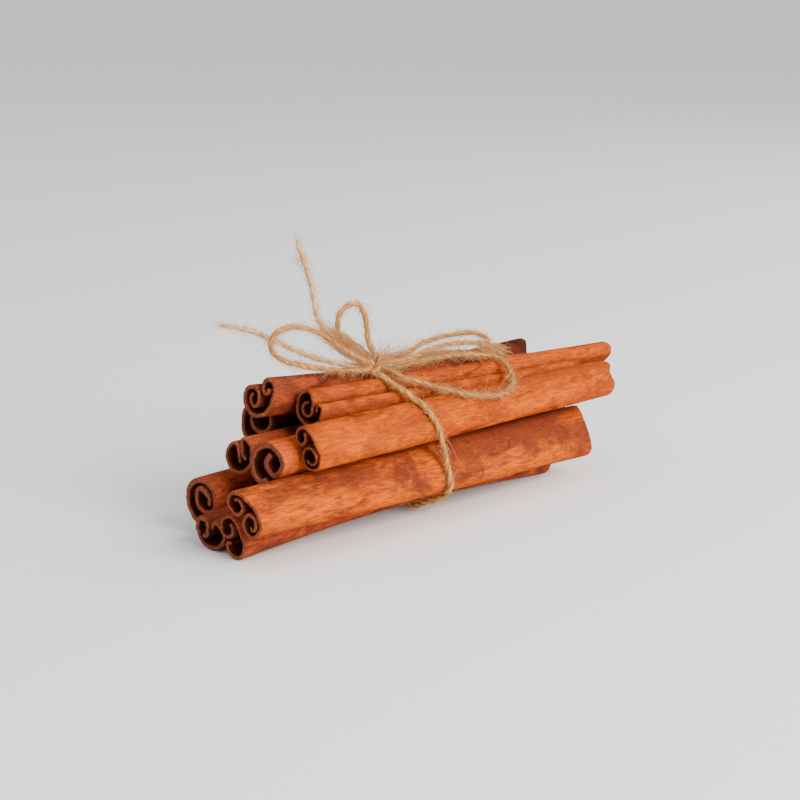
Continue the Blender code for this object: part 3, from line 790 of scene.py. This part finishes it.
def bark_stick(name, stick, finish, seed):
    """Rolled bark. Half a wall to each side of the section's middle line are its two faces, joined round
    its long edges by lips. The section is carried from end to end, with relief along its normal and its
    ends broken back by chips. Returns the points of the skin."""
    left, right = stick_ends(name)
    axis = unit(right - left)
    across = unit(np.cross((0, 0, 1), axis))
    upright = np.cross(axis, across)
    long = np.linalg.norm(right - left)
    count = int(round((long - 2) / STATION_GAP))
    place = np.concatenate([END_STATIONS, np.linspace(1.1, long - 1.1, count), long - END_STATIONS[::-1]])
    t = place / long
    y, z, normal_y, normal_z, arc = rolled_section(stick, place, seed)
    s, x = np.broadcast_to(arc, y.shape), np.broadcast_to(place[:, None], y.shape)

    outer_relief, inner_relief, crease = bark_relief(s, x, seed)
    # Colour marks: staining of the bark, and in places painted shade and painted light.
    stain_and_painted_light = stain_and_painted_light_amount(stick.get("stains_and_painted_light", ()), s, x, seed)
    half = stick["wall"] / 2
    rim = RIM_LOSS * (1 - ease(np.minimum(x, long - x) / RIM_WIDTH))
    outer = half + outer_relief - rim
    inner = half + inner_relief - rim
    outer_side = -math.copysign(1.0, stick["arcs"][0][1])
    upper_half, lower_half = (outer, inner) if outer_side > 0 else (inner, outer)
    upper_y, upper_z = y + normal_y * upper_half, z + normal_z * upper_half
    lower_y, lower_z = y - normal_y * lower_half, z - normal_z * lower_half

    def lip(column, sign):
        """Half a circle of points round a long edge, from the upper face over to the lower one."""
        bow = math.pi * (np.arange(LIP_POINTS) + 1) / (LIP_POINTS + 1)
        middle_half = (upper_half[:, column] + lower_half[:, column]) / 2
        shift = (upper_half[:, column] - lower_half[:, column]) / 2
        up = shift[:, None] + middle_half[:, None] * np.cos(bow)
        out = sign * middle_half[:, None] * 0.6 * np.sin(bow)
        ny, nz = normal_y[:, column][:, None], normal_z[:, column][:, None]
        return y[:, column][:, None] + ny * up + nz * out, z[:, column][:, None] + nz * up - ny * out

    last_y, last_z = lip(-1, 1)
    first_y, first_z = lip(0, -1)
    loop_y = np.hstack([upper_y, last_y, lower_y[:, ::-1], first_y[:, ::-1]])
    loop_z = np.hstack([upper_z, last_z, lower_z[:, ::-1], first_z[:, ::-1]])
    middle_y = (loop_y.max(axis=1) + loop_y.min(axis=1))[:, None] / 2
    middle_z = (loop_z.max(axis=1) + loop_z.min(axis=1))[:, None] / 2
    scale = (1 + stick.get("growth", 0.0) * t)[:, None]

    def placed(row_y, row_z, along):
        """Points of the sections, set on the stick's axis, which rises to an arch in the middle."""
        lift = stick.get("arch", 0.0) * 4 * t * (1 - t)
        return (left + axis * along[..., None] + across * ((row_y - middle_y) * scale)[..., None]
                + upright * ((row_z - middle_z) * scale)[..., None]
                + np.array([0, 0, 1.0]) * lift[:, None, None])

    rows, n = y.shape
    total = arc[-1]
    loop_arc = round_loop(arc, total, arc[::-1], 0.0)
    size = len(loop_arc)
    along = broken_ends(stick, place, loop_arc, seed)
    loop = placed(loop_y, loop_z, along)
    spine = placed(y, z, broken_ends(stick, place, arc, seed))
    bulge = (0.07 * swing(arc / 0.5, arc * 0, seed + 40) + 0.05)[:, None]
    vertices = np.vstack([loop.reshape(-1, 3), spine[0] - axis * bulge, spine[-1] + axis * bulge])
    at = np.arange(rows * size).reshape(rows, size)
    after = np.roll(at, -1, axis=1)
    faces = np.stack([at[:-1], at[1:], after[1:], after[:-1]], axis=-1).reshape(-1, 4).tolist()
    faces += end_faces(at[0], rows * size, n, False)
    faces += end_faces(at[-1], rows * size + n, n, True)

    def with_ends(values, on_cut):
        """A value for every vertex: the loops' own, then one value for both cuts' middle lines."""
        return np.concatenate([np.broadcast_to(values, (rows, size)).ravel(), np.full(2 * n, float(on_cut))])

    around = round_loop(arc, total + 0.5, 2 * total + 1 - arc[::-1], -0.5)
    grain = np.zeros((len(vertices), 3))
    grain[:, 0] = with_ends(around, 0)
    grain[:, 1] = with_ends(along, 0)
    grain[rows * size:, 0] = np.concatenate([arc, arc])
    face_of = round_loop(np.full(n, outer_side), 0.0, np.full(n, -outer_side), 0.0)
    # Points deep inside the roll are darkened: painted shade.
    tucked_shade = tucked_in(loop_y[rows // 2], loop_z[rows // 2])
    inside = np.maximum((face_of <= 0) * 1.0, 0.8 * tucked_shade)
    # Where the creases lie on the outer face, for their painted shade.
    crease_shade_loop = np.zeros((rows, size))
    if outer_side > 0:
        crease_shade_loop[:, :n] = crease
    else:
        crease_shade_loop[:, n + LIP_POINTS:2 * n + LIP_POINTS] = crease[:, ::-1]
    no_stain_or_painted_light = np.zeros((rows, LIP_POINTS))
    stain_and_painted_light_loop = np.hstack([stain_and_painted_light, no_stain_or_painted_light, stain_and_painted_light[:, ::-1], no_stain_or_painted_light])
    cut = np.zeros((rows, size))
    cut[[0, -1]] = 1
    attributes = [("bark_grain", "FLOAT_VECTOR", grain),
                  ("inside", "FLOAT", with_ends(inside, 0)),
                  ("crease", "FLOAT", with_ends(crease_shade_loop, 0)),
                  ("stain_and_painted_light", "FLOAT", with_ends(stain_and_painted_light_loop, 0)),
                  ("cut", "FLOAT", with_ends(cut, 1))]
    piece = make_piece(name + "_bark", vertices, faces, finish, attributes)
    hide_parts(name)
    return loop.reshape(-1, 3)


# ---------------------------------------------------------------- wrap and knot

WRAP_LEAN = 7.0          # how far left the wrap leans at WRAP_HEIGHT
WRAP_HEIGHT = 29.6
WRAP_BOW = 0.9           # how far left it bows on the low front


def wrap_place(foot, y, z):
    """Where the wrap passes along the sticks, at a place across and up. It leans to the left as it
    climbs, by the cube of its height, and bows a little to the left on the low front."""
    lean = WRAP_LEAN * np.clip(z / WRAP_HEIGHT, 0, 1.2) ** 3
    return foot - lean - WRAP_BOW * hill(z, 8, 6) * ease(-y / 4)


def wrap_route(skins, knot_middle, knot_half):
    """Taut twine round every stick. In each of many directions the furthest bark point, moved out by
    the twine's radius, is one point of the line, so it runs straight where it spans two sticks. The
    line starts and ends inside the knot."""
    high = np.array(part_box("wrap")[1]) / MM
    foot = high[0] - WRAP_DIAMETER / 2
    points = np.vstack(skins)
    place = wrap_place(foot, points[:, 1], points[:, 2])
    near = points[np.abs(points[:, 0] - place) < 0.5][:, 1:]
    directions = 1440
    turn = np.linspace(0, math.tau, directions + 1)
    ways = np.stack([np.cos(turn), np.sin(turn)], axis=1)
    rim = near[np.argmax(near @ ways.T, axis=0)] + ways * (WRAP_DIAMETER / 2 + WRAP_GAP)
    line = np.stack([wrap_place(foot, rim[:, 0], rim[:, 1]), rim[:, 0], rim[:, 1]], axis=1)
    line = even_line(line, RING_GAP)[0][:-1]
    apart = np.linalg.norm((line - knot_middle) / knot_half, axis=1)
    nearest = int(np.argmin(apart))
    line, apart = np.roll(line, -nearest, axis=0), np.roll(apart, -nearest)
    return line[apart > 0.75]


def knot_route(middle, half, count=220):
    """An overhand knot closed on itself: x = sin t + 2 sin 2t, y = cos t - 2 cos 2t, z = -sin 3t,
    stretched to the knot's box less half a millimetre."""
    t = np.linspace(0, math.tau, count)
    curve = np.stack([np.sin(t) + 2 * np.sin(2 * t), np.cos(t) - 2 * np.cos(2 * t), -np.sin(3 * t)], axis=1)
    curve /= np.abs(curve).max(axis=0)
    return middle + curve * (half - 0.5)


def add_wrap_and_knot(skins, jute, fibre):
    """The wrap round the sticks and the knot in front of it, each with its loose fibres."""
    low, high = (np.array(corner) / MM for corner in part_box("knot"))
    middle, half = (low + high) / 2, (high - low) / 2
    wrap, line = twine_tube("wrap_twine", wrap_route(skins, middle, half), WRAP_DIAMETER, 301, jute)
    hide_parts("wrap")
    fibres = fuzz("wrap_fibres", line, WRAP_DIAMETER, 305, fibre, dense=16.0, stray=0.6, floor_z=0.05)
    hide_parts("wrap")
    knot, line = twine_tube("knot_twine", knot_route(middle, half), KNOT_TWINE, 311, jute, closed=True)
    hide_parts("knot")
    fibres = fuzz("knot_fibres", line, KNOT_TWINE, 315, fibre, dense=16.0, stray=2.0)
    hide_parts("knot")


# ---------------------------------------------------------------- studio

def add_camera():
    """The camera looks down a little from the front left, from a set distance to its aim point."""
    aim = (cad_low + cad_high) / 2 / MM + AIM_OFFSET
    turn, rise = math.radians(CAMERA_AZIMUTH), math.radians(CAMERA_ELEVATION)
    look = np.array([math.sin(turn) * math.cos(rise), math.cos(turn) * math.cos(rise), -math.sin(rise)])
    data = bpy.data.cameras.new("camera")
    data.lens = CAMERA_LENS
    data.sensor_width = 36
    data.clip_start = 0.01
    camera = bpy.data.objects.new("camera", data)
    camera.location = (aim - look * CAMERA_DISTANCE) * MM
    camera.rotation_euler = (math.pi / 2 - rise, 0, -turn)
    bpy.context.scene.collection.objects.link(camera)
    bpy.context.scene.camera = camera


def add_light(name, place, size, power, colour):
    """A square soft light at a place in metres, turned to the middle of the object."""
    data = bpy.data.lights.new(name, "AREA")
    data.size = size
    data.energy = power
    data.color = colour
    light = bpy.data.objects.new(name, data)
    light.location = place
    aim = (cad_low + cad_high) / 2
    back = unit(np.array(place) - aim)
    pitch, heading = math.acos(back[2]), math.atan2(back[0], -back[1])
    light.rotation_euler = (pitch, 0, heading)
    bpy.context.scene.collection.objects.link(light)


def add_studio():
    """A wide pale floor, a soft key from the front, a weak fill from the right, and a pale surround."""
    n = Nodes("studio_floor")
    n.shader.inputs["Base Color"].default_value = FLOOR_WHITE
    n.gloss(roughness=0.9, specular=0.1)
    mesh = bpy.data.meshes.new("floor")
    reach = 6.0
    corners = [(-reach, -reach, 0), (reach, -reach, 0), (reach, reach, 0), (-reach, reach, 0)]
    mesh.from_pydata(corners, [], [(0, 1, 2, 3)])
    mesh.materials.append(n.material)
    floor = bpy.data.objects.new("floor", mesh)
    bpy.context.scene.collection.objects.link(floor)
    floor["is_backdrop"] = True
    world = bpy.data.worlds.new("surround")
    world.use_nodes = True
    background = world.node_tree.nodes["Background"]
    background.inputs["Color"].default_value = SKY_WHITE
    background.inputs["Strength"].default_value = SKY_STRENGTH
    bpy.context.scene.world = world
    add_light("key", place=(-0.02, -0.72, 0.38), size=0.5, power=12.6, colour=(1.0, 0.94, 0.87))
    add_light("fill", place=(0.7, -0.15, 0.45), size=0.6, power=3.0, colour=(1.0, 0.96, 0.91))


# ---------------------------------------------------------------- putting it together

add_camera()
jute = jute_finish("jute_twine", *JUTE)
fibre = fibre_finish("jute_fibre")
pale_jute = jute_finish("pale_jute_twine", *PALE_JUTE, contrast=0.3)
add_cords(jute, pale_jute, fibre)

skins = []
for number, (name, stick) in enumerate(STICKS.items()):
    finish = bark_finish(name.replace("stick", "bark"), stick["tone"], 7.0 * number)
    skins.append(bark_stick(name, stick, finish, 1000 + 100 * number))
add_wrap_and_knot(skins, jute, fibre)
add_studio()
